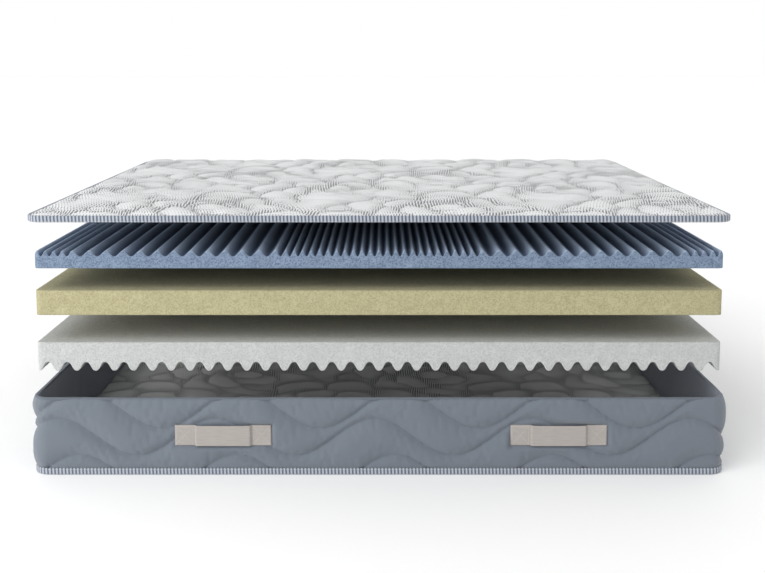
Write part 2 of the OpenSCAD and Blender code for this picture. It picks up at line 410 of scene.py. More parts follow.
def meshFrom(name, points, corners, material):
    mesh = bpy.data.meshes.new(name)
    mesh.vertices.add(len(points))
    mesh.vertices.foreach_set("co", np.asarray(points, np.float32).ravel())
    mesh.loops.add(corners.size)
    mesh.loops.foreach_set("vertex_index", corners.ravel().astype(np.int32))
    mesh.polygons.add(len(corners))
    size = corners.shape[1]
    mesh.polygons.foreach_set("loop_start", np.arange(0, corners.size, size, dtype=np.int32))
    mesh.polygons.foreach_set("use_smooth", np.ones(len(corners), bool))
    mesh.update(calc_edges=True)
    mesh.validate()
    mesh.materials.append(material)
    return mesh


def pathObject(name, lines):
    # each line is (points, closed); all become edges of one mesh
    points, edges = [], []
    for line, closed in lines:
        first = len(points)
        points.extend(line)
        edges.extend((first + i, first + i + 1) for i in range(len(line) - 1))
        if closed:
            edges.append((first + len(line) - 1, first))
    mesh = bpy.data.meshes.new(name)
    mesh.from_pydata([tuple(p) for p in points], edges, [])
    return newObject(name, mesh)


def setAttribute(piece, name, values):
    attribute = piece.data.attributes.new(name, "FLOAT", "POINT")
    attribute.data.foreach_set("value", np.asarray(values, np.float32).ravel())


def growMesh(name, source, tree, values):
    # runs a geometry node tree on the source and keeps the result as a plain mesh
    modifier = source.modifiers.new("grow", "NODES")
    modifier.node_group = tree
    for item in tree.interface.items_tree:
        if item.item_type == "SOCKET" and item.in_out == "INPUT" and item.name in values:
            modifier[item.identifier] = values[item.name]
    graph = bpy.context.evaluated_depsgraph_get()
    mesh = bpy.data.meshes.new_from_object(source.evaluated_get(graph))
    source.modifiers.remove(modifier)
    mesh.name = name
    bpy.data.objects.remove(source)
    return newObject(name, mesh)


ripplePitch = (0.6, 1.7)          # waves of a ripple are this long, against its size


def ripple(u, v, seed, size, count=7):
    # smooth unevenness between about -1 and 1, the same on every run
    draw = np.random.RandomState(seed)
    total = np.zeros(np.broadcast(u, v).shape)
    for _ in range(count):
        turn = draw.uniform(0, 2 * math.pi)
        pitch = size * draw.uniform(*ripplePitch)
        total += np.sin((u * math.cos(turn) + v * math.sin(turn)) * 2 * math.pi / pitch + draw.uniform(0, 7))
    return total / math.sqrt(count * 2)


def softMin(distances, blend):
    return -blend * np.log(sum(np.exp(-d / blend) for d in distances))


def smoothStep(value, low, high):
    t = np.clip((value - low) / (high - low), 0, 1)
    return t * t * (3 - 2 * t)


looseHold = 0.3           # weight of a point beside the stitches
inflate = {
    "frames": 16,
    "quality": 3,
    "vertexMass": 0.01,       # kilograms at each point
    "stiffness": 12.0,
    "shear": 0.3,
    "bending": 0.02,
    "damping": 2.0,
    "drag": 3.0,
    "near": 0.01,             # weights this close count as the same
    "tiny": 1e-9,
}


def inflateCloth(points, held, slack, cap, pressure, thin, wrapColumns=False):
    # the face fabric, held at its seams, is blown up by the padding behind it; returns the new points
    # the cloth is simulated on every few rows and columns, and its shift is spread over the rest
    rows, columns, _ = points.shape
    rowPick = np.append(np.arange(0, rows - 1, thin[0]), rows - 1)
    columnPick = np.arange(0, columns, thin[1])
    if not wrapColumns and columnPick[-1] != columns - 1:
        columnPick = np.append(columnPick, columns - 1)
    coarse = points[np.ix_(rowPick, columnPick)]
    weights = held[np.ix_(rowPick, columnPick)].ravel()
    blank = bpy.data.materials.new("blank")
    piece = gridObject("simulatedCloth", coarse, blank, False, wrapColumns)
    pins = piece.vertex_groups.new(name="held")
    for weight in (1.0, looseHold):
        same = np.abs(weights - weight) < inflate["near"]
        pins.add(np.nonzero(same)[0].tolist(), weight, "REPLACE")
    cloth = piece.modifiers.new("cloth", "CLOTH")
    settings = cloth.settings
    settings.vertex_group_mass = "held"
    settings.mass = inflate["vertexMass"]
    settings.quality = inflate["quality"]
    settings.tension_stiffness = settings.compression_stiffness = inflate["stiffness"]
    settings.shear_stiffness = inflate["stiffness"] * inflate["shear"]
    settings.bending_stiffness = inflate["bending"]
    settings.tension_damping = settings.compression_damping = settings.shear_damping = inflate["damping"]
    settings.air_damping = inflate["drag"]
    settings.shrink_min = -slack
    settings.use_pressure = True
    settings.uniform_pressure_force = pressure
    settings.effector_weights.gravity = 0.0
    cloth.collision_settings.use_collision = False
    cloth.point_cache.frame_start = 1
    cloth.point_cache.frame_end = inflate["frames"]
    scene = bpy.context.scene
    for step in range(1, inflate["frames"] + 1):
        scene.frame_set(step)
    result = piece.evaluated_get(bpy.context.evaluated_depsgraph_get()).data
    moved = np.empty(coarse.size, np.float32)
    result.vertices.foreach_get("co", moved)
    shift = moved.reshape(coarse.shape).astype(float) - coarse
    length = np.linalg.norm(shift, axis=-1, keepdims=True)
    print("inflated", len(weights), "points by up to", round(float(length.max()), 4))
    shift *= np.minimum(1.0, cap / np.maximum(length, inflate["tiny"]))
    scene.frame_set(1)
    bpy.data.objects.remove(piece)
    bpy.data.materials.remove(blank)
    if wrapColumns:
        columnPick = np.append(columnPick, columns)
        shift = np.concatenate([shift, shift[:, :1]], 1)
    spread = spreadAlong(shift, columnPick, columns, 1)
    return points + spreadAlong(spread, rowPick, rows, 0)


def spreadAlong(values, picked, count, axis):
    # fills in the rows or columns between the simulated ones
    fill = np.interp(np.arange(count), picked, np.arange(len(picked)))
    low = np.minimum(fill.astype(int), len(picked) - 2)
    share = np.expand_dims(fill - low, (1, 2) if axis == 0 else (0, 2))
    return np.take(values, low, axis) * (1 - share) + np.take(values, low + 1, axis) * share


def finishPiece(piece, body, slot, replaced=(), padded=None, flat=None, restsOn=()):
    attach(piece, body)
    if replaced:
        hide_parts(*replaced)
    print("piece", piece.name, len(piece.data.polygons), "faces")
    return piece


cover = {
    "cornerRadius": 0.045,    # as on the frame's rounded corners
    "cornerSteps": 24,
    "step": 0.005,            # spacing of points along the straight sides
}
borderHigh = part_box("border_face")[1]
halfLength, halfWidth = borderHigh.x, borderHigh.y


def coverOutline(step, cornerSteps):
    # points, outward normals and running length, from the middle of the front, anticlockwise from above
    radius = cover["cornerRadius"]
    straightX, straightY = halfLength - radius, halfWidth - radius
    places, normals, run = [], [], []
    length = 0.0

    def side(start, end, normal):
        nonlocal length
        span = math.dist(start, end)
        count = max(1, round(span / step))
        for i in range(count):
            t = i / count
            places.append((start[0] + (end[0] - start[0]) * t, start[1] + (end[1] - start[1]) * t))
            normals.append(normal)
            run.append(length + span * t)
        length += span

    def corner(centre, begin):
        nonlocal length
        for i in range(cornerSteps):
            turn = begin + math.pi / 2 * i / cornerSteps
            normal = (math.cos(turn), math.sin(turn))
            places.append((centre[0] + radius * normal[0], centre[1] + radius * normal[1]))
            normals.append(normal)
            run.append(length + radius * math.pi / 2 * i / cornerSteps)
        length += radius * math.pi / 2

    side((0, -halfWidth), (straightX, -halfWidth), (0, -1))
    corner((straightX, -straightY), -math.pi / 2)
    side((halfLength, -straightY), (halfLength, straightY), (1, 0))
    corner((straightX, straightY), 0)
    side((straightX, halfWidth), (-straightX, halfWidth), (0, 1))
    corner((-straightX, straightY), math.pi / 2)
    side((-halfLength, straightY), (-halfLength, -straightY), (-1, 0))
    corner((-straightX, -straightY), math.pi)
    side((-straightX, -halfWidth), (0, -halfWidth), (0, -1))
    return np.array(places), np.array(normals), np.array(run), length


places, normals, run, outlineLength = coverOutline(cover["step"], cover["cornerSteps"])


def wallPoints(outward, height):
    # outward and height are rows x columns, or one number for each row
    outward = np.broadcast_to(np.asarray(outward, float), (len(height), len(run)))
    height = np.broadcast_to(np.asarray(height, float), outward.shape)
    x = places[None, :, 0] + normals[None, :, 0] * outward
    y = places[None, :, 1] + normals[None, :, 1] * outward
    return np.stack([x, y, height], -1)


def column(values):
    return np.asarray(values, float)[:, None]


border = {
    "waveLength": 0.4556,      # crest to crest along the front
    "waveCount": 16,           # whole waves round the cover
    "waveHeight": 0.0547,      # from the middle of a quilting line to its crest
    "lines": [(0.003, 0.045), (0.111, -0.015), (0.192, 0.057)],   # mean height, place of a crest
    "pillow": 0.0158,          # how far the padding swells between the lines
    "pillowWidth": 0.048,
    "seat": -0.0059,           # where a quilting line lies, from the wall's outer face
    "rows": 46,
    "slack": 0.008,            # how much longer the fabric is than the wall it covers
    "pressure": 20.0,
    "cap": 0.0026,
    "thin": (1, 2),            # rows and columns simulated
    "wallThickness": 0.0065,
    "blend": 0.0032,           # how softly one line's hollow runs into the next
    "rimHold": (0.9, 0.004),   # the padding thins towards the rim, and towards the tape
    "tapeHold": (1.0, 0.006),
    "roundness": 0.62,         # lower is fuller
    "pucker": 0.0012,          # small gathers along the quilting lines
    "puckerSize": 0.020,
    "puckerDrawn": 0.35,       # gathers are drawn out upwards by this
    "puckerReach": (0.003, 0.012),
    "seeds": (3, 5),
    "sag": 0.0009,             # broad unevenness of the padding
    "sagSize": 0.110,
    "heldWidth": (0.0028, 0.0048),    # held fast, and held a little, by the stitches
    "rimRoll": (0.0016, 0.012),       # least depth of the face, and how far it may sink below the rim
    "rimRollHeight": (0.004, 0.016),
    "tuck": 0.003,             # hidden behind the tape
    "lowest": -0.001,          # the lowest row stays this far behind the tape
    "backRows": 5,
}


def wavePhase(along):
    # a little tighter on the sides and rear, so that whole waves meet at the join
    front = halfLength
    shift = (along + outlineLength / 2) % outlineLength - outlineLength / 2
    rest = outlineLength / 2 - front
    restWaves = border["waveCount"] / 2 - front / border["waveLength"]
    inner = np.clip(np.abs(shift), 0, front) / border["waveLength"]
    outer = np.clip(np.abs(shift) - front, 0, rest) / rest * restWaves
    return np.sign(shift) * (inner + outer)


def quiltLine(along, mean, crest):
    phase = wavePhase(along) - crest / border["waveLength"]
    return mean + border["waveHeight"] * np.cos(2 * math.pi * phase)


handleBoxes = {n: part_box(n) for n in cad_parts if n.endswith("_handle")}
handleSeat = {"margin": 0.012, "gap": 0.0006}     # the padding is pressed down this far round, and this deep


def flattenAtHandles(outward, x, y, z):
    # the padding is sewn down flat under the handle ends and pressed in a little behind the strap
    for low, high in handleBoxes.values():
        awayX = np.maximum(np.maximum(low.x - x, x - high.x), 0)
        awayZ = np.maximum(np.maximum(low.z - z, z - high.z), 0)
        sameSide = (y * (low.y + high.y)) > 0
        near = 1 - smoothStep(np.hypot(awayX, awayZ), 0.0, handleSeat["margin"])
        pressed = outward * (1 - near) + np.minimum(outward, -handleSeat["gap"]) * near
        outward = np.where(sameSide, pressed, outward)
    return outward


def fromQuiltLines(s, z, rim, tapeTop):
    # distance to the nearest quilting line, with the rim and the tape as softer lines
    distances = []
    reach = 0.001
    for mean, crest in border["lines"]:
        ahead, behind = quiltLine(s + reach, mean, crest), quiltLine(s - reach, mean, crest)
        slope = (ahead - behind) / (2 * reach)
        distances.append(np.abs(z - quiltLine(s, mean, crest)) / np.sqrt(1 + slope ** 2))
    for gap, (share, start) in ((rim - z, border["rimHold"]), (z - tapeTop, border["tapeHold"])):
        distances.append(np.maximum(gap, 0) * share + start)
    return np.maximum(softMin(distances, border["blend"]), 0.0)


def heldWeights(away, fast, loose):
    # 1 where the stitches hold the fabric, less beside them, 0 elsewhere
    return np.where(away < fast, 1.0, np.where(away < loose, looseHold, 0.0))


def makeBorder():
    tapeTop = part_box("bottom_tape")[1].z
    rim = borderHigh.z
    heights = np.linspace(tapeTop - border["tuck"], rim, border["rows"])
    s, z = np.meshgrid(run, heights)
    away = fromQuiltLines(s, z, rim, tapeTop)
    full = np.clip(away / border["pillowWidth"], 0, 1)
    swell = (1 - (1 - full) ** 2) ** border["roundness"]
    near, far = border["puckerReach"]
    gathers = np.exp(-away / far) * (1 - np.exp(-away / near)) * border["pucker"]
    puckerSeed, sagSeed = border["seeds"]
    pucker = ripple(s, z * border["puckerDrawn"], puckerSeed, border["puckerSize"]) * gathers
    sag = ripple(s, z, sagSeed, border["sagSize"]) * border["sag"] * full
    outward = border["seat"] + border["pillow"] * swell + pucker + sag
    held = heldWeights(away, *border["heldWidth"])
    held[[0, 1, -2, -1]] = 1.0
    least, sink = border["rimRoll"]
    outward = np.maximum(outward, -least - sink * smoothStep(rim - z, *border["rimRollHeight"]))
    sheet = wallPoints(outward, z)
    lifted = inflateCloth(sheet, held, border["slack"], border["cap"], border["pressure"], border["thin"],
                          wrapColumns=True)
    outward = outward + ((lifted - sheet)[..., :2] * normals[None]).sum(-1)
    z = lifted[..., 2]
    x, y = (np.broadcast_to(places[:, axis], s.shape) for axis in (0, 1))
    outward = flattenAtHandles(outward, x, y, z)
    outward[0] = np.minimum(outward[0], border["lowest"])
    return closedWall("borderFace", outward, z, heights, -border["wallThickness"], border["backRows"],
                      "borderKnit", "border_knit", ["border_face", "border_wadding"], padded=0.8)


def closedWall(name, face, z, heights, back, backRows, material, slot, replaced, flip=False, **declared):
    # the face goes up the wall and the back comes down behind it, so that the wall is closed
    down = np.linspace(heights[-1], heights[0], backRows)
    outRows = np.vstack([face, np.full((backRows, len(run)), back)])
    zRows = np.vstack([z, np.broadcast_to(down[:, None], (backRows, len(run)))])
    u = np.append(run, outlineLength)
    v = np.append(np.concatenate([heights, down]), heights[0])
    piece = gridObject(name, wallPoints(outRows, zRows), finishes[material], True, True, (u, v), flip=flip)
    return finishPiece(piece, "cover", slot, replaced, **declared)


lining = {
    "face": 0.0080,              # depth of the lining's two faces behind the wall's outer face
    "back": 0.0066,
    "bulge": 0.0015,
    "most": 0.004,               # wrinkles stand no prouder than this
    "wrinkles": ((0.0009, 0.09, 0.5, 11), (0.0011, 0.30, 1.0, 12)),    # height, size, stretch, seed
    "hemHeight": 0.02,           # the wrinkles fade out this close to the floor and the rim
    "cornerCalm": 0.4,
    "rows": 26,
    "backRows": 3,
}


def makeBorderLining():
    low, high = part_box("border_lining")
    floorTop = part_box("bottom_panel_lining")[1].z
    heights = np.linspace(low.z, high.z, lining["rows"])
    s, z = np.meshgrid(run, heights)
    wrinkle = sum(tall * ripple(s, z * stretch, seed, size)
                  for tall, size, stretch, seed in lining["wrinkles"])
    hem = lining["hemHeight"]
    calm = smoothStep(z, floorTop, floorTop + hem) * (1 - smoothStep(z, high.z - hem, high.z))
    # no wrinkles in the corners, where the foam passes close
    turned = np.clip(2 * np.abs(normals[:, 0] * normals[:, 1]), 0, 1)
    calm = calm * (1 - turned ** lining["cornerCalm"])[None, :]
    face = -lining["face"] - np.clip(lining["bulge"] + wrinkle, 0.0, lining["most"]) * calm
    flat = (high.z - low.z, outlineLength - 2 * math.pi * lining["face"])
    return closedWall("borderLining", face, z, heights, -lining["back"], lining["backRows"], "borderLining",
                      "border_lining", ["border_lining"], flip=True, flat=flat, restsOn=["borderFace"])


binding = {
    "half": 0.0048,              # half its thickness over the rim
    "centre": -0.0036,           # from the wall's outer face
    "squat": 0.7,                # height of the rounded top, against its half thickness
    "wobble": 0.0008,
    "wobbleSize": 0.25,
    "rise": 0.4,                 # share of the wobble that goes up and down
    "steps": 9,
    "foot": (0.0004, 0.001),     # its feet and its hem above the lowest point
    "outerFoot": 0.98,           # places of the feet and the hem, in half thicknesses from its centre
    "innerFoot": 0.9,
    "hem": 0.55,
    "lastRow": 0.03,             # where the cloth's rows end, once round
}


def makeRimBinding():
    low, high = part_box("rim_binding")
    wobble = ripple(run, run * 0, 21, binding["wobbleSize"]) * binding["wobble"]
    turn = np.linspace(0, math.pi, binding["steps"])
    half, centre, squat = binding["half"], binding["centre"], binding["half"] * binding["squat"]
    foot, hem = (low.z + rise for rise in binding["foot"])
    # outside foot, over the top, inside foot, and the two ends of the space inside
    across = np.concatenate([[binding["outerFoot"]], np.cos(turn),
                             [-binding["innerFoot"], -binding["hem"], binding["hem"]]])
    outProfile = centre + half * across
    upProfile = np.concatenate([[foot], high.z - squat + squat * np.sin(turn), [foot, hem, hem]])
    rise = binding["rise"] * wobble
    points = wallPoints(column(outProfile) + wobble[None, :], column(upProfile) + rise[None, :])
    steps = np.hypot(np.diff(outProfile, prepend=outProfile[0]), np.diff(upProfile, prepend=upProfile[0]))
    u, v = np.append(run, outlineLength), np.append(np.cumsum(steps), binding["lastRow"])
    piece = gridObject("rimBinding", points, finishes["bindingCloth"], True, True, (u, v))
    return finishPiece(piece, "cover", "rim_binding", ["rim_binding"])


makeBorder()
makeBorderLining()
makeRimBinding()


tape = {
    "stripe": 0.01012,       # one pale and one blue stripe
    "pointsPerStripe": 4,
    "slant": 0.08,           # lean of the stripes over the tape's height, in stripes
    "tuck": 0.003,           # how far the folded edges reach behind the border's face
    "fold": 0.00357,         # rounding of the fold
    "foldSteps": 4,
    "rib": 0.00035,          # how far a pale stripe stands up
}


def newGenerator(name, counts, measures):
    # a geometry node tree whose inputs are a shape, whole numbers, other numbers and a material
    inputs = {"Geometry": geometry, **dict.fromkeys(counts, whole), **dict.fromkeys(measures, number),
              "Material": materialSocket}
    return newGroup(name, "GeometryNodeTree", inputs, {"Geometry": geometry})


def storeValue(tree, shape, name, value):
    links = {"Geometry": shape, "Name": name, "Value": value}
    return firstOutput(tree, "GeometryNodeStoreNamedAttribute", links, data_type="FLOAT", domain="POINT")


def scaled(tree, vector, factor):
    return firstOutput(tree, "ShaderNodeVectorMath", {0: vector, "Scale": factor}, operation="SCALE")


def closeTree(tree, shape, given, result):
    # smooth faces, real copies in place of instances, and the material
    smooth = firstOutput(tree, "GeometryNodeSetShadeSmooth", {"Geometry": shape})
    real = firstOutput(tree, "GeometryNodeRealizeInstances", {"Geometry": smooth})
    final = firstOutput(tree, "GeometryNodeSetMaterial", {"Geometry": real, "Material": given["Material"]})
    tree.links.new(final, result["Geometry"])
    return tree


def makeTapeTree():
    # sweeps a rounded strip along the path, and gives each point its place in the stripes
    tree, given, result = newGenerator("stripedTape", ["Stripes", "Points"],
                                       ["Height", "Thickness", "Fold", "Slant", "Rib", "Middle"])
    line = firstOutput(tree, "GeometryNodeMeshToCurve", {"Mesh": given["Geometry"]})
    links = {"Curve": line, "Count": given["Points"]}
    even = firstOutput(tree, "GeometryNodeResampleCurve", links, mode="COUNT")
    level = firstOutput(tree, "GeometryNodeSetCurveNormal", {"Curve": even}, mode="Z_UP")
    share = addNode(tree, "GeometryNodeSplineParameter").outputs["Factor"]
    kept = addNode(tree, "GeometryNodeCaptureAttribute", {"Geometry": level})
    kept.capture_items.new("FLOAT", "share")
    tree.links.new(share, kept.inputs[1])
    links = {"Width": given["Thickness"], "Height": given["Height"]}
    strip = firstOutput(tree, "GeometryNodeCurvePrimitiveQuadrilateral", links)
    links = {"Curve": strip, "Count": tape["foldSteps"], "Radius": given["Fold"]}
    rounded = firstOutput(tree, "GeometryNodeFilletCurve", links, mode="POLY")
    links = {"Curve": kept.outputs[0], "Profile Curve": rounded, "Fill Caps": False}
    swept = firstOutput(tree, "GeometryNodeCurveToMesh", links)
    here = firstOutput(tree, "GeometryNodeInputPosition")
    above = calc(tree, "SUBTRACT", splitVector(tree, here)[2], given["Middle"])
    passed = calc(tree, "MULTIPLY", kept.outputs[1], given["Stripes"])
    lean = calc(tree, "MULTIPLY", calc(tree, "DIVIDE", above, given["Height"]), given["Slant"])
    phase = calc(tree, "ADD", passed, lean)
    wave = calc(tree, "COSINE", calc(tree, "MULTIPLY", phase, 2 * math.pi))
    named = storeValue(tree, swept, "stripeWave", wave)
    outward = firstOutput(tree, "GeometryNodeInputNormal")
    lift = scaled(tree, outward, calc(tree, "MULTIPLY", wave, given["Rib"]))
    ribbed = firstOutput(tree, "GeometryNodeSetPosition", {"Geometry": named, "Offset": lift})
    return closeTree(tree, ribbed, given, result)


def outlinePath(outward, height, step=0.01, steps=16):
    spots, sides, _, _ = coverOutline(step, steps)
    return [(x + nx * outward, y + ny * outward, height) for (x, y), (nx, ny) in zip(spots, sides)]


tapeTree = makeTapeTree()


def makeTape(name, node, body):
    low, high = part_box(node)
    thick = high.x - halfLength + tape["tuck"]
    middle = (low.z + high.z) / 2
    path = outlinePath(high.x - halfLength - thick / 2, middle)
    count = round(outlineLength / tape["stripe"])
    rib = tape["rib"]
    values = {"Stripes": count, "Points": count * tape["pointsPerStripe"], "Height": high.z - low.z - 2 * rib,
              "Thickness": thick - 2 * rib, "Fold": tape["fold"], "Slant": tape["slant"], "Rib": rib,
              "Middle": middle, "Material": finishes["edgeTape"]}
    piece = growMesh(name, pathObject(name + "Path", [(path, True)]), tapeTree, values)
    return finishPiece(piece, body, "edge_tape", [node])


makeTape("bottomTape", "bottom_tape", "cover")
makeTape("topTape", "top_tape", "top_panel")


def makeStitchTree():
    # one rounded stitch after another along every line of the source
    tree, given, result = newGenerator("stitchRow", [], ["Pitch", "Length", "Thread"])
    line = firstOutput(tree, "GeometryNodeMeshToCurve", {"Mesh": given["Geometry"]})
    links = {"Curve": line, "Length": given["Pitch"]}
    even = firstOutput(tree, "GeometryNodeResampleCurve", links, mode="LENGTH")
    ball = firstOutput(tree, "GeometryNodeMeshIcoSphere", {"Radius": 0.5, "Subdivisions": 1})
    size = joinVector(tree, given["Thread"], given["Thread"], given["Length"])
    stitch = firstOutput(tree, "GeometryNodeTransform", {"Geometry": ball, "Scale": size})
    tangent = firstOutput(tree, "GeometryNodeInputTangent")
    turned = firstOutput(tree, "FunctionNodeAlignRotationToVector", {"Vector": tangent}, axis="Z")
    links = {"Points": even, "Instance": stitch, "Rotation": turned}
    row = firstOutput(tree, "GeometryNodeInstanceOnPoints", links)
    real = firstOutput(tree, "GeometryNodeRealizeInstances", {"Geometry": row})
    return closeTree(tree, real, given, result)


stitchTree = makeStitchTree()
tapeStitch = {"pitch": 0.0065, "length": 0.0052, "thread": 0.0011, "sink": 0.0007, "step": 0.006}
quiltStitch = {"pitch": 0.0075, "length": 0.0058, "thread": 0.0010, "lift": 0.0006, "fewest": 4}
boxStitch = {"pitch": 0.0042, "length": 0.0036, "thread": 0.0012, "sink": 0.0001, "inset": 0.0045}


def makeStitches(name, lines, stitch, material, body, replaced=()):
    values = {"Pitch": stitch["pitch"], "Length": stitch["length"], "Thread": stitch["thread"],
              "Material": finishes[material]}
    piece = growMesh(name, pathObject(name + "Path", lines), stitchTree, values)
    return finishPiece(piece, body, "thread", replaced)


def makeTapeStitches(name, node, body):
    low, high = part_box(node)
    outward = high.x - halfLength - tapeStitch["sink"]
    path = outlinePath(outward, (low.z + high.z) / 2, tapeStitch["step"])
    makeStitches(name, [(path, True)], tapeStitch, "paleThread", body, [node])


makeTapeStitches("bottomTapeStitching", "bottom_tape_stitching", "cover")
makeTapeStitches("topTapeStitching", "top_tape_stitching", "top_panel")


def shownQuilting(lineZ):
    # hidden past the rim and the tape, and behind the handles
    margin = 0.001
    x, y = places[:, 0], places[:, 1]
    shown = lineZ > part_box("bottom_tape")[1].z + margin
    shown &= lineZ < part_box("rim_binding")[0].z - margin
    for low, high in handleBoxes.values():
        behind = (x > low.x - 2 * margin) & (x < high.x + 2 * margin) & (y * (low.y + high.y) > 0)
        behind &= (lineZ > low.z - 2 * margin) & (lineZ < high.z + 2 * margin)
        shown &= ~(behind & (np.abs(y) > halfWidth - margin))
    return shown


def makeBorderQuilting():
    # the thread lies in the bottom of each quilting line
    spots = places + normals * (border["seat"] + quiltStitch["lift"])
    lines = []
    for mean, crest in border["lines"]:
        lineZ = quiltLine(run, mean, crest)
        current = []
        for (x, y), z, on in zip(spots, lineZ, shownQuilting(lineZ)):
            if on:
                current.append((x, y, z))
            elif current:
                lines.append((current, False))
                current = []
        lines.append((current, False))
    lines = [line for line in lines if len(line[0]) >= quiltStitch["fewest"]]
    makeStitches("borderQuilting", lines, quiltStitch, "greyThread", "cover")


makeBorderQuilting()


handle = {
    "thickness": 0.0025,
    "ribDepth": 0.00035,
    "ribs": 20,              # ribs across the webbing
    "edgeRound": 0.0011,
    "edgeThin": 0.45,        # how much thinner the webbing gets at its edges
    "endLength": 0.057,
    "slope": 0.007,
    "bow": 0.0012,           # how far the raised span bows out at its middle
    "draw": (0.02, 0.03),    # the span narrows by this share, over this length
    "seat": 0.0001,          # gap behind the sewn ends
    "blend": 0.004,          # length of the finer rows each side of a slope
    "rows": (12, 18, 16),    # rows on an end, a slope and half the span
    "faceColumns": 61,
    "backColumns": 13,
}


def strapLine(low, high):
    # height of the strap's back off the border, along its length
    length = high.x - low.x
    gap = (high.y - low.y) - handle["thickness"]
    end, slope = handle["endLength"], handle["slope"]
    stops = [0, end - handle["blend"], end + slope + handle["blend"], length / 2]
    x = np.unique(np.concatenate([
        np.linspace(start, stop, count) for start, stop, count in zip(stops, stops[1:], handle["rows"])]))
    x = np.concatenate([x, length - x[-2::-1]])
    rise = smoothStep(np.minimum(x, length - x), end, end + slope)
    bow = handle["bow"] * np.sin(math.pi * np.clip((x - end) / (length - 2 * end), 0, 1))
    return x + low.x, rise * gap + bow * rise


def pieceName(node, ending):
    words = (node + "_" + ending).split("_")
    return words[0] + "".join(word.capitalize() for word in words[1:])


def strapProfile(tall):
    # across the webbing: ribbed face, rounded edge, flat back, rounded edge
    across = np.linspace(-0.5, 0.5, handle["faceColumns"])
    backAcross = np.linspace(0.5, -0.5, handle["backColumns"])[1:-1]
    thick, rounding = handle["thickness"], handle["edgeRound"]

    def thinning(share):
        edge = 1 - np.clip((np.abs(share) * tall - (tall / 2 - rounding)) / rounding, 0, 1) ** 2
        return (1 - np.sqrt(np.clip(edge, 0, 1))) * thick * handle["edgeThin"]

    ribs = handle["ribDepth"] * (np.cos(across * 2 * math.pi * handle["ribs"]) * 0.5 - 0.5)
    profileUp = np.concatenate([across, backAcross]) * tall
    return profileUp, np.concatenate([thick - thinning(across) + ribs, thinning(backAcross)])


def wallSide(low, high):
    # which long side of the cover a handle is on, and how far out that wall is
    return (-1 if low.y < 0 else 1), min(abs(low.y), abs(high.y))


def makeHandle(node):
    low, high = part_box(node)
    side, wall = wallSide(low, high)
    tall = high.z - low.z
    x, lift = strapLine(low, high)
    profileUp, profileOut = strapProfile(tall)
    tilt = np.arctan(np.gradient(lift, x))
    # the span is drawn in a little by its own tension
    share, length = handle["draw"]
    inward = np.minimum(x - low.x, high.x - x)
    narrow = 1 - share * smoothStep(inward, handle["endLength"], handle["endLength"] + length)
    px = x[:, None] - np.sin(tilt)[:, None] * profileOut[None, :]
    py = side * (wall + handle["seat"] + lift[:, None] + np.cos(tilt)[:, None] * profileOut[None, :])
    pz = (low.z + high.z) / 2 + profileUp[None, :] * narrow[:, None]
    # rows run along the strap, so the running length is the row value
    along = np.append(np.concatenate([[0], np.cumsum(np.hypot(np.diff(x), np.diff(lift)))]), 0)
    girth = np.append(np.cumsum(np.abs(np.diff(profileUp, prepend=profileUp[0]))), tall * 2)
    points = np.stack([px, py, pz], -1)
    piece = gridObject(pieceName(node, "webbing"), points, finishes["webbing"], False, True, (girth, along),
                       flip=side > 0)
    turnCloth(piece)
    closeEnds(piece, *points.shape[:2])
    return finishPiece(piece, "cover", "webbing", [node])


def turnCloth(piece):
    # swaps the two directions of the cloth, so that the yarns run along the strap
    layer = piece.data.uv_layers["cloth"]
    values = np.empty(len(layer.data) * 2, np.float32)
    layer.data.foreach_get("uv", values)
    layer.data.foreach_set("uv", values.reshape(-1, 2)[:, ::-1].ravel())


def closeEnds(piece, rows, columns):
    work = bmesh.new()
    work.from_mesh(piece.data)
    work.verts.ensure_lookup_table()
    for first in (0, (rows - 1) * columns):
        work.faces.new([work.verts[first + i] for i in range(columns)])
    bmesh.ops.recalc_face_normals(work, faces=work.faces)
    work.to_mesh(piece.data)
    work.free()


def makeHandleStitches(node):
    # a box and a cross at each end
    low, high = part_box(node)
    side, wall = wallSide(low, high)
    y = side * (wall + handle["thickness"] - boxStitch["sink"])
    inset = boxStitch["inset"]
    z0, z1 = low.z + inset, high.z - inset
    lines = []
    for x0, x1 in ((low.x + inset, low.x + handle["endLength"] - inset),
                   (high.x - handle["endLength"] + inset, high.x - inset)):
        lines.append(([(x0, y, z0), (x1, y, z0), (x1, y, z1), (x0, y, z1)], True))
        lines.append(([(x0, y, z0), (x1, y, z1)], False))
        lines.append(([(x0, y, z1), (x1, y, z0)], False))
    name = pieceName(node, "stitching")
    makeStitches(name, lines, boxStitch, "strapThread", "cover", [node + "_stitching"])


for node in sorted(handleBoxes):
    makeHandle(node)
    makeHandleStitches(node)


foam = {
    "cornerRadius": 0.016,
    "edge": 0.0022,            # softness of the cut edges
    "columnStep": 0.0026,      # spacing of points across the ridges
    "rows": 31,
    "levels": 9,
    "ridgeShape": 0.85,        # less than one makes the slots broader
    "grooveShape": 0.38,       # how full the grooves of the underside are
    "endRidges": 12.0,
    "uneven": 0.0005,          # height of the cut's unevenness
    "unevenLook": {"Scale": 9.0, "Detail": 4.0, "Roughness": 0.65},
}


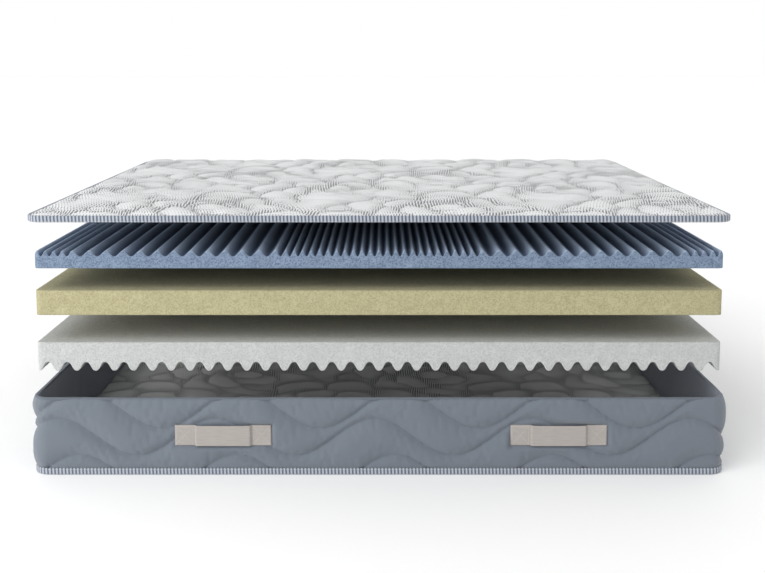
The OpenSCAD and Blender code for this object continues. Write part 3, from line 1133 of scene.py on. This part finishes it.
def makeFoamTree():
    # a slab with rounded corners, a waved underside and a ridged top whose pitch changes by zone
    tree, given, result = newGenerator("foamSlab", ["Columns", "Rows"], [
        "Length", "Width", "Bottom", "Top", "Corner", "Edge", "Top Depth", "Bottom Depth", "Bottom Pitch",
        "Uneven", "Fine Pitch", "Broad Pitch", "Step", "Middle Ridges", "Broad Ridges"])

    op, span = partial(calc, tree), partial(remap, tree)
    cube = {"Size": joinVector(tree, 1.0, 1.0, 1.0), "Vertices X": given["Columns"],
            "Vertices Y": given["Rows"], "Vertices Z": foam["levels"]}
    block = firstOutput(tree, "GeometryNodeMeshCube", cube)
    evenX, evenY, z0 = splitVector(tree, firstOutput(tree, "GeometryNodeInputPosition"))
    # the three outermost levels of points, as shares of the height from the middle
    rimLevel = 0.5
    edgeLevel = rimLevel - 1 / (foam["levels"] - 1)
    nextLevel = rimLevel - 2 / (foam["levels"] - 1)
    onTop = op("GREATER_THAN", z0, (rimLevel + edgeLevel) / 2)

    def tightened(share, count, size):
        # the last row but one lies close to the edge, so that the edge looks crisp
        last = op("SUBTRACT", 0.5, op("DIVIDE", 1.0, op("SUBTRACT", count, 1.0)))
        margin = op("DIVIDE", op("MULTIPLY", given["Edge"], 2.0), size)
        away = op("ABSOLUTE", share)
        inner = span(away, 0.0, last, 0.0, op("SUBTRACT", 0.5, margin))
        return op("MULTIPLY", op("ADD", inner, span(away, last, 0.5, 0.0, margin)), op("SIGN", share))

    x0 = tightened(evenX, given["Columns"], given["Length"])
    y0 = tightened(evenY, given["Rows"], given["Width"])
    # the outer rings of points make the soft edge
    rim = span(op("ABSOLUTE", z0), edgeLevel, rimLevel)
    inset = op("MULTIPLY", rim, given["Edge"])
    fullX = op("MULTIPLY", x0, op("SUBTRACT", given["Length"], op("MULTIPLY", inset, 2.0)))
    away = op("ABSOLUTE", fullX)
    cornerStart = op("SUBTRACT", op("MULTIPLY", given["Length"], 0.5), given["Corner"])
    over = op("MAXIMUM", op("SUBTRACT", away, cornerStart), 0.0)
    squares = op("SUBTRACT", op("MULTIPLY", given["Corner"], given["Corner"]), op("MULTIPLY", over, over))
    drop = op("SUBTRACT", given["Corner"], op("SQRT", op("MAXIMUM", squares, 0.0)))
    wide = op("SUBTRACT", given["Width"], op("MULTIPLY", op("ADD", inset, drop), 2.0))
    fullY = op("MULTIPLY", y0, wide)
    # zones: each adds its ridges to the count of ridges passed so far
    passed, start = None, 0.0
    zones = [(op("MULTIPLY", given["Middle Ridges"], given["Fine Pitch"]), given["Middle Ridges"]),
             (given["Step"], 1.0),
             (op("MULTIPLY", given["Broad Ridges"], given["Broad Pitch"]), given["Broad Ridges"]),
             (given["Step"], 1.0),
             (op("MULTIPLY", given["Fine Pitch"], foam["endRidges"]), foam["endRidges"])]
    for reach, count in zones:
        end = op("ADD", start, reach)
        part = span(away, start, end, 0.0, count)
        passed = part if passed is None else op("ADD", passed, part)
        start = end
    ridge = op("MULTIPLY_ADD", op("COSINE", op("MULTIPLY", passed, 2 * math.pi)), -0.5, 0.5)
    sharp = op("POWER", op("MAXIMUM", ridge, 0.0), foam["ridgeShape"])
    top = op("SUBTRACT", given["Top"], op("MULTIPLY", sharp, given["Top Depth"]))
    groove = op("COSINE", op("DIVIDE", op("MULTIPLY", fullX, 2 * math.pi), given["Bottom Pitch"]))
    fuller = op("MULTIPLY_ADD", op("MULTIPLY", groove, groove), -foam["grooveShape"], 1 + foam["grooveShape"])
    groove = op("MULTIPLY_ADD", op("MULTIPLY", groove, fuller), -0.5, 0.5)
    bottom = op("MULTIPLY_ADD", groove, given["Bottom Depth"], given["Bottom"])
    upper = op("SUBTRACT", top, given["Edge"])
    lower = op("ADD", bottom, given["Edge"])
    # the levels next to the soft edges lie close to them too
    tight = op("DIVIDE", given["Edge"], op("SUBTRACT", upper, lower))
    ends = op("SUBTRACT", span(z0, nextLevel, edgeLevel), span(z0, -nextLevel, -edgeLevel))
    inner = span(z0, -nextLevel, nextLevel, tight, op("SUBTRACT", 1.0, tight))
    between = op("MULTIPLY_ADD", ends, tight, inner)
    body = op("MULTIPLY_ADD", between, op("SUBTRACT", upper, lower), lower)
    ends = op("SUBTRACT", span(z0, edgeLevel, rimLevel), span(z0, -edgeLevel, -rimLevel))
    height = op("MULTIPLY_ADD", ends, given["Edge"], body)
    # marks the top, and how deep each point lies in a groove, for the painted light and shade of the top
    marked = storeValue(tree, block, "skin", onTop)
    marked = storeValue(tree, marked, "hollow", op("MULTIPLY", onTop, sharp))
    links = {"Geometry": marked, "Position": joinVector(tree, fullX, fullY, height)}
    shaped = firstOutput(tree, "GeometryNodeSetPosition", links)
    noise = addNode(tree, "ShaderNodeTexNoise", foam["unevenLook"])
    tree.links.new(firstOutput(tree, "GeometryNodeInputPosition"), noise.inputs["Vector"])
    links = {0: noise.outputs[1], 1: (0.5, 0.5, 0.5)}
    middled = firstOutput(tree, "ShaderNodeVectorMath", links, operation="SUBTRACT")
    links = {"Geometry": shaped, "Offset": scaled(tree, middled, given["Uneven"])}
    rough = firstOutput(tree, "GeometryNodeSetPosition", links)
    return closeTree(tree, rough, given, result)


foamTree = makeFoamTree()


def makeFoam(name, node, body, slot, material, **shape):
    low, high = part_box(node)
    values = {"Length": high.x - low.x, "Width": high.y - low.y, "Bottom": low.z, "Top": high.z,
              "Corner": foam["cornerRadius"], "Edge": foam["edge"], "Rows": foam["rows"],
              "Columns": round((high.x - low.x) / foam["columnStep"]) | 1, "Uneven": foam["uneven"],
              "Material": finishes[material]}
    values.update(shape)
    piece = growMesh(name, pathObject(name + "Seed", []), foamTree, values)
    return finishPiece(piece, body, slot, [node], 1.0)


makeFoam("supportFoam", "support_foam", "support_layer", "support_foam", "supportFoam",
         **{"Bottom Depth": 0.025, "Bottom Pitch": 0.0544})
makeFoam("memoryFoam", "memory_foam", "memory_layer", "memory_foam", "memoryFoam", Columns=201)
makeFoam("zonedFoam", "zoned_foam", "zoned_layer", "zoned_foam", "zonedFoam",
         **{"Top Depth": 0.016, "Fine Pitch": 0.0242, "Broad Pitch": 0.0484, "Step": 0.028,
            "Middle Ridges": 11.0, "Broad Ridges": 12.0})


panel = {
    "tile": (0.694, 0.790),     # the flower pattern repeats at this size
    "reliefWidth": 0.034,
    "roundness": 0.75,
    "seeds": (31, 33, 34),
    "puckerSize": 0.024,        # small folds beside the quilting lines
    "puckerHeight": 0.12,
    "puckerReach": (0.010, 0.002),
    "wanderSize": 0.35,         # slow unevenness of the padding
    "wanderHeight": 0.10,
    "lump": 0.187,              # the padding between the flowers rises this often
    "lumpHeight": 0.22,
    "lumpDrift": (0.5, 2),
    "edgeRise": 0.016,          # the padding reaches its height this far from the edge
    "slack": 0.020,             # how much longer the fabric is than the pad it covers
    "cap": 0.006,
    "heldWidth": (0.0045, 0.0072),    # held fast, and held a little, by the stitches
    "heldEdge": 0.008,
    "calmEdge": 0.02,
    "thin": (2, 2),
    "skirtTone": 0.2,
}
topPad = {"inset": 0.0, "step": 0.0057, "relief": 0.0085, "crown": 0.0028, "edgeDrop": 0.0040,
          "pressure": 20.0, "base": 0.0002}
floorPad = {"inset": 0.0002, "step": 0.006, "relief": 0.0055, "crown": 0.0002, "edgeDrop": 0.0076,
            "pressure": 0.0, "base": -0.012}
flower = {
    "seed": 4,
    "places": [(0.27, 0.20, 0.35), (0.77, 0.70, 2.1)],    # place in the tile, first turn
    # petals, distance from the middle, half length, half width and lean of each ring, outer ring first
    "rings": [(7, 0.158, 0.122, 0.098, 0.55), (5, 0.088, 0.088, 0.070, 0.75), (4, 0.034, 0.052, 0.040, 0.95)],
    "turnSpread": (-0.16, 0.16),
    "sizeSpread": (0.88, 1.14),
    "distanceSpread": (0.92, 1.10),
    "stretch": 1.12,            # flowers are this much wider across the bed
    "leaves": 3,
    "leafTurn": (0.7, 2.2),     # turn of the first one, and from each one to the next
    "leafPlace": (0.255, 0.27),
    "leafLean": 0.5,
    "leafSize": (0.105, 0.042),
    "ruffles": [(5, 3, 0.045), (9, 0, 0.02)],    # waves round a petal, shift by its turn, height
}
petalShade = {
    "reach": 0.120,             # how far the darker yarn spreads from under a petal
    "fall": 2.2,
    "least": 0.10,
    "cast": (0.90, 1.7),        # strength and power of the shade under a petal
    "base": (0.85, 1.2),        # and of the shade at a petal's own foot
    "footLength": 0.62,
    "bareFoot": 0.6,
}


def flowerPetals():
    # x, y, turn, half length, half width for each petal, the lowest ones first
    tileX, tileY = panel["tile"]
    draw = np.random.RandomState(flower["seed"])
    leaves, rings = [], [[] for _ in flower["rings"]]
    leafFirst, leafNext = flower["leafTurn"]
    leafX, leafY = flower["leafPlace"]
    for fx, fy, first in flower["places"]:
        cx, cy = fx * tileX, fy * tileY
        for k in range(flower["leaves"]):
            turn = first + leafFirst + k * leafNext
            leaves.append((cx + leafX * math.cos(turn), cy + leafY * math.sin(turn),
                           turn + flower["leafLean"], *flower["leafSize"]))
        for ring, (count, away, long, wide, lean) in zip(rings, flower["rings"]):
            for k in range(count):
                turn = first + k * 2 * math.pi / count + draw.uniform(*flower["turnSpread"])
                size = draw.uniform(*flower["sizeSpread"])
                distance = away * draw.uniform(*flower["distanceSpread"])
                ring.append((cx + distance * math.cos(turn),
                             cy + distance * math.sin(turn) * flower["stretch"],
                             turn + lean, long * size, wide * size))
    return sum(rings, leaves)


petals = flowerPetals()


def petalEdge(turn, long, wide, dx, dy):
    # distance inside the petal's outline, and how far along the petal from its foot
    along = dx * math.cos(turn) + dy * math.sin(turn)
    across = -dx * math.sin(turn) + dy * math.cos(turn)
    angle = np.arctan2(across / wide, along / long)
    reach = np.hypot(across / wide, along / long)
    ruffle = sum((tall * np.sin(waves * angle + turn * shift) for waves, shift, tall in flower["ruffles"]), 1)
    size = long * np.abs(np.cos(angle)) + wide * np.abs(np.sin(angle))
    return (ruffle - reach) * size, (along + long) / (2 * long)


def petalPattern(x, y):
    # each petal covers the ones before it and darkens what lies round its edge
    tileX, tileY = panel["tile"]
    quilt = np.full(x.shape, 1.0)
    shade = np.zeros(x.shape)
    foot = np.full(x.shape, petalShade["bareFoot"])
    for cx, cy, turn, long, wide in petals:
        dx = (x - cx + tileX / 2) % tileX - tileX / 2
        dy = (y - cy + tileY / 2) % tileY - tileY / 2
        edge, share = petalEdge(turn, long, wide, dx, dy)
        inside = edge > 0
        cast = np.exp(np.minimum(edge, 0) / petalShade["reach"] * petalShade["fall"])
        quilt = np.where(inside, edge, np.minimum(quilt, -edge))
        shade = np.where(inside, 0.0, np.maximum(shade, cast))
        foot = np.where(inside, share, foot)
    cast, castPower = petalShade["cast"]
    base, basePower = petalShade["base"]
    footShade = np.clip(petalShade["footLength"] - foot, 0, 1) ** basePower
    return quilt, np.clip(petalShade["least"] + cast * shade ** castPower + base * footShade, 0, 1)


def panelGrid(inset, step):
    # rows across the width, columns along the length, drawn in to follow the rounded corners
    length, width = halfLength - inset, halfWidth - inset
    radius = cover["cornerRadius"] - inset
    near = np.linspace(0, math.pi / 2, 12)
    end = length - radius + radius * np.sin(near)
    middle = np.linspace(-(length - radius), length - radius, round(2 * (length - radius) / step) + 1)
    x = np.concatenate([-end[:0:-1], middle, end[1:]])
    over = np.clip(np.abs(x) - (length - radius), 0, radius)
    reach = width - (radius - np.sqrt(np.maximum(radius ** 2 - over ** 2, 0)))
    share = np.linspace(-1, 1, round(2 * width / step) + 1)
    y = share[:, None] * reach[None, :]
    xGrid = np.broadcast_to(x[None, :], y.shape)
    cornerX = np.maximum(np.abs(xGrid) - (length - radius), 0)
    cornerY = np.maximum(np.abs(y) - (width - radius), 0)
    cornerGap = radius - np.hypot(cornerX, cornerY)
    inCorner = (cornerX > 0) & (cornerY > 0)
    away = np.where(inCorner, cornerGap, np.minimum(width - np.abs(y), length - np.abs(xGrid)))
    return xGrid, y, np.maximum(away, 0)


def padHeight(x, y, away, quilt, top, pad):
    # padding swells between the quilting lines and sinks at the panel's edge
    swell = (1 - (1 - np.clip(quilt / panel["reliefWidth"], 0, 1)) ** 2) ** panel["roundness"]
    puckerSeed, wanderSeed, lumpSeed = panel["seeds"]
    far, near = panel["puckerReach"]
    gathers = np.exp(-quilt / far) * (1 - np.exp(-quilt / near)) * panel["puckerHeight"]
    pucker = ripple(x, y, puckerSeed, panel["puckerSize"]) * gathers
    wander = ripple(x, y, wanderSeed, panel["wanderSize"]) * panel["wanderHeight"]
    driftSize, drift = panel["lumpDrift"]
    lumps = np.sin(x * 2 * math.pi / panel["lump"] + ripple(y, y, lumpSeed, driftSize) * drift)
    uneven = pucker + wander + lumps * panel["lumpHeight"]
    rise = 1 - np.exp(-away / panel["edgeRise"])
    return top - pad["edgeDrop"] + rise * (pad["crown"] + pad["relief"] * (swell + uneven))


def quiltedPanel(name, pad, inset, top, bottom, material):
    x, y, away = panelGrid(inset, pad["step"])
    quilt, tone = petalPattern(x, y)
    grid = np.stack([x, y, padHeight(x, y, away, quilt, top, pad)], -1)
    if pad["pressure"]:
        held = heldWeights(quilt, *panel["heldWidth"])
        held[away < panel["heldEdge"]] = 1.0
        held[[0, -1]] = 1.0
        held[:, [0, -1]] = 1.0
        lifted = inflateCloth(grid, held, panel["slack"], panel["cap"], pad["pressure"], panel["thin"])
        calm = np.clip(away / panel["calmEdge"], 0, 1)
        grid = grid + (lifted - grid) * np.stack([calm, calm, np.ones(calm.shape)], -1)
    # a skirt and a flat back close the pad; the back is a coarse copy of the outline
    points, corners = closedPad(grid, ringOf(grid), bottom)
    piece = newObject(name, meshFromMixed(name, points, corners, finishes[material]))
    skirt = np.full(len(points) - tone.size, panel["skirtTone"])
    setAttribute(piece, "petalTone", np.concatenate([tone.ravel(), skirt]))
    return piece


def ringOf(grid):
    # indices of the outline of a rows x columns grid, anticlockwise from above
    rows, columns, _ = grid.shape
    first = list(range(columns))
    right = [r * columns + columns - 1 for r in range(1, rows)]
    last = [(rows - 1) * columns + c for c in range(columns - 2, -1, -1)]
    left = [r * columns for r in range(rows - 2, 0, -1)]
    return first + right + last + left


def closedPad(grid, ring, bottom):
    rows, columns, _ = grid.shape
    r, c = np.meshgrid(np.arange(rows - 1), np.arange(columns - 1), indexing="ij")
    corner = (r * columns + c).ravel()
    quads = np.stack([corner, corner + 1, corner + columns + 1, corner + columns], -1).tolist()
    points = grid.reshape(-1, 3)
    low = points[ring].copy()
    low[:, 2] = bottom
    base = len(points)
    count = len(ring)
    for i in range(count):
        j = (i + 1) % count
        quads.append([ring[j], ring[i], base + i, base + j])
    # the back: one long strip for each column, from the front edge to the rear one
    front = [base + i for i in range(columns)]
    rear = [base + columns - 1 + (rows - 1) + (columns - 1 - i) for i in range(columns)]
    leftSide = [front[0]] + [base + count - k for k in range(1, rows - 1)] + [rear[0]]
    rightSide = [front[-1]] + [base + columns - 1 + k for k in range(1, rows - 1)] + [rear[-1]]
    quads.append(leftSide + [rear[1], front[1]])
    for i in range(1, columns - 2):
        quads.append([front[i], rear[i], rear[i + 1], front[i + 1]])
    quads.append([front[-2], rear[-2]] + rightSide[::-1])
    return np.concatenate([points, low]), quads


def meshFromMixed(name, points, faces, material):
    mesh = bpy.data.meshes.new(name)
    mesh.from_pydata(points.tolist(), [], faces)
    mesh.polygons.foreach_set("use_smooth", np.ones(len(mesh.polygons), bool))
    mesh.update()
    mesh.materials.append(material)
    return mesh


def makeTopPanel():
    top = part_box("top_tape")[1].z
    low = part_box("top_panel_wadding")[0].z
    piece = quiltedPanel("topPanelFace", topPad, topPad["inset"], top, low + topPad["base"], "jacquard")
    return finishPiece(piece, "top_panel", "jacquard", ["top_panel_face", "top_panel_wadding"], 0.8)


def makeTrayFloor():
    low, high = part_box("bottom_panel_lining")
    inset = halfLength - high.x + floorPad["inset"]
    piece = quiltedPanel("trayFloor", floorPad, inset, high.z, low.z + floorPad["base"], "floorJacquard")
    return finishPiece(piece, "cover", "floor_lining", ["bottom_panel_lining", "bottom_panel_wadding"], 0.6)


backing = {"width": 0.03, "depth": 0.0010}      # the quilting shows this wide and deep on the back


def makeBackCloth(name, node, body, slot, material, inset, step, gap, reach, restsOn):
    low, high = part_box(node)
    x, y, away = panelGrid(inset, step)
    quilt, _ = petalPattern(x, y)
    full = np.clip(quilt / backing["width"], 0, 1)
    dip = (1 - (1 - full) ** 2) * (1 - np.exp(-away / reach))
    grid = np.stack([x, y, low.z + gap + backing["depth"] * (1 - dip)], -1)[:, ::-1]
    points, faces = closedPad(grid, ringOf(grid), high.z)
    piece = newObject(name, meshFromMixed(name, points, faces, finishes[material]))
    return finishPiece(piece, body, slot, [node], flat=(high.y - low.y, high.x - low.x), restsOn=restsOn)


makeTopPanel()
makeBackCloth("topPanelBacking", "top_panel_lining", "top_panel", "panel_lining", "backingCloth",
              inset=0.0006, step=0.010, gap=0.0001, reach=0.02, restsOn=["topPanelFace"])
makeTrayFloor()
makeBackCloth("undersideCloth", "bottom_panel_face", "cover", "bottom_fabric", "bottomCloth",
              inset=0.0002, step=0.012, gap=0.0, reach=0.01, restsOn=["trayFloor"])


view = {
    "lens": 50,
    "sensor": 36,
    "shift": -0.1528,            # keeps the upright edges nearly parallel
    "place": (0.0101, -3.7680, 1.1995),
    "down": 6,                   # degrees
    "farthest": 100,
}

camera = bpy.data.cameras.new("camera")
camera.lens = view["lens"]
camera.sensor_width = view["sensor"]
camera.shift_y = view["shift"]
camera.clip_end = view["farthest"]
viewer = bpy.data.objects.new("camera", camera)
viewer.location = view["place"]
viewer.rotation_euler = (math.radians(90 - view["down"]), 0, 0)
bpy.context.scene.collection.objects.link(viewer)
bpy.context.scene.camera = viewer


light = {
    "skyForCamera": 1.0,
    "skyLevel": 1.05,                 # at the horizon
    "skyOverhead": 0.42,
    "skyChange": 0.8,                 # height of the sky where it reaches the overhead strength
    "suns": {                         # strength, where it shines from, degrees across
        "keyLight": (1.05, (-1.25, -1.3, 1.6), 34),
        "topLight": (0.95, (0.1, 0.2, 1.0), 110),
    },
    "sideFrom": (-3.0, -2.6, 1.0),    # a nearer soft box, brighter towards the left
    "sideToward": (0, -0.6, 0.3),
    "sideSize": 1.6,
    "sidePower": 43,
}


def addLight(name, kind, strength, turn, place=(0, 0, 0), **settings):
    lamp = bpy.data.lights.new(name, kind)
    lamp.energy = strength
    for key, value in settings.items():
        setattr(lamp, key, value)
    holder = bpy.data.objects.new(name, lamp)
    holder.location = place
    holder.rotation_euler = turn.to_euler()
    bpy.context.scene.collection.objects.link(holder)


for lampName, (strength, place, spread) in light["suns"].items():
    addLight(lampName, "SUN", strength, Vector(place).to_track_quat("Z", "Y"), angle=math.radians(spread))
turn = (Vector(light["sideToward"]) - Vector(light["sideFrom"])).to_track_quat("-Z", "Y")
addLight("sideLight", "AREA", light["sidePower"], turn, light["sideFrom"], size=light["sideSize"])

world = bpy.data.worlds.new("studio")
world.use_nodes = True
sky = world.node_tree.nodes["Background"]
seen = world.node_tree.nodes.new("ShaderNodeLightPath").outputs["Is Camera Ray"]
upward = splitVector(world.node_tree, world.node_tree.nodes.new("ShaderNodeTexCoord").outputs["Generated"])[2]
lighting = remap(world.node_tree, upward, 0.0, light["skyChange"], light["skyLevel"], light["skyOverhead"])
skyStrength = remap(world.node_tree, seen, 0.0, 1.0, lighting, light["skyForCamera"])
world.node_tree.links.new(skyStrength, sky.inputs["Strength"])
sky.inputs["Color"].default_value = (1, 1, 1, 1)
bpy.context.scene.world = world
bpy.context.scene.view_settings.view_transform = "Standard"

floor = {"reach": 60, "tone": 0.97, "roughness": 0.7}

floorMesh = bpy.data.meshes.new("floor")
reach = floor["reach"]
floorMesh.from_pydata([(-reach, -reach, 0), (reach, -reach, 0), (reach, reach, 0), (-reach, reach, 0)], [],
                      [(0, 1, 2, 3)])
floorMaterial, _, floorShader = newMaterial("floorPaint", floor["roughness"])
floorShader.inputs["Base Color"].default_value = (floor["tone"],) * 3 + (1,)
floorMesh.materials.append(floorMaterial)
newObject("floor", floorMesh)
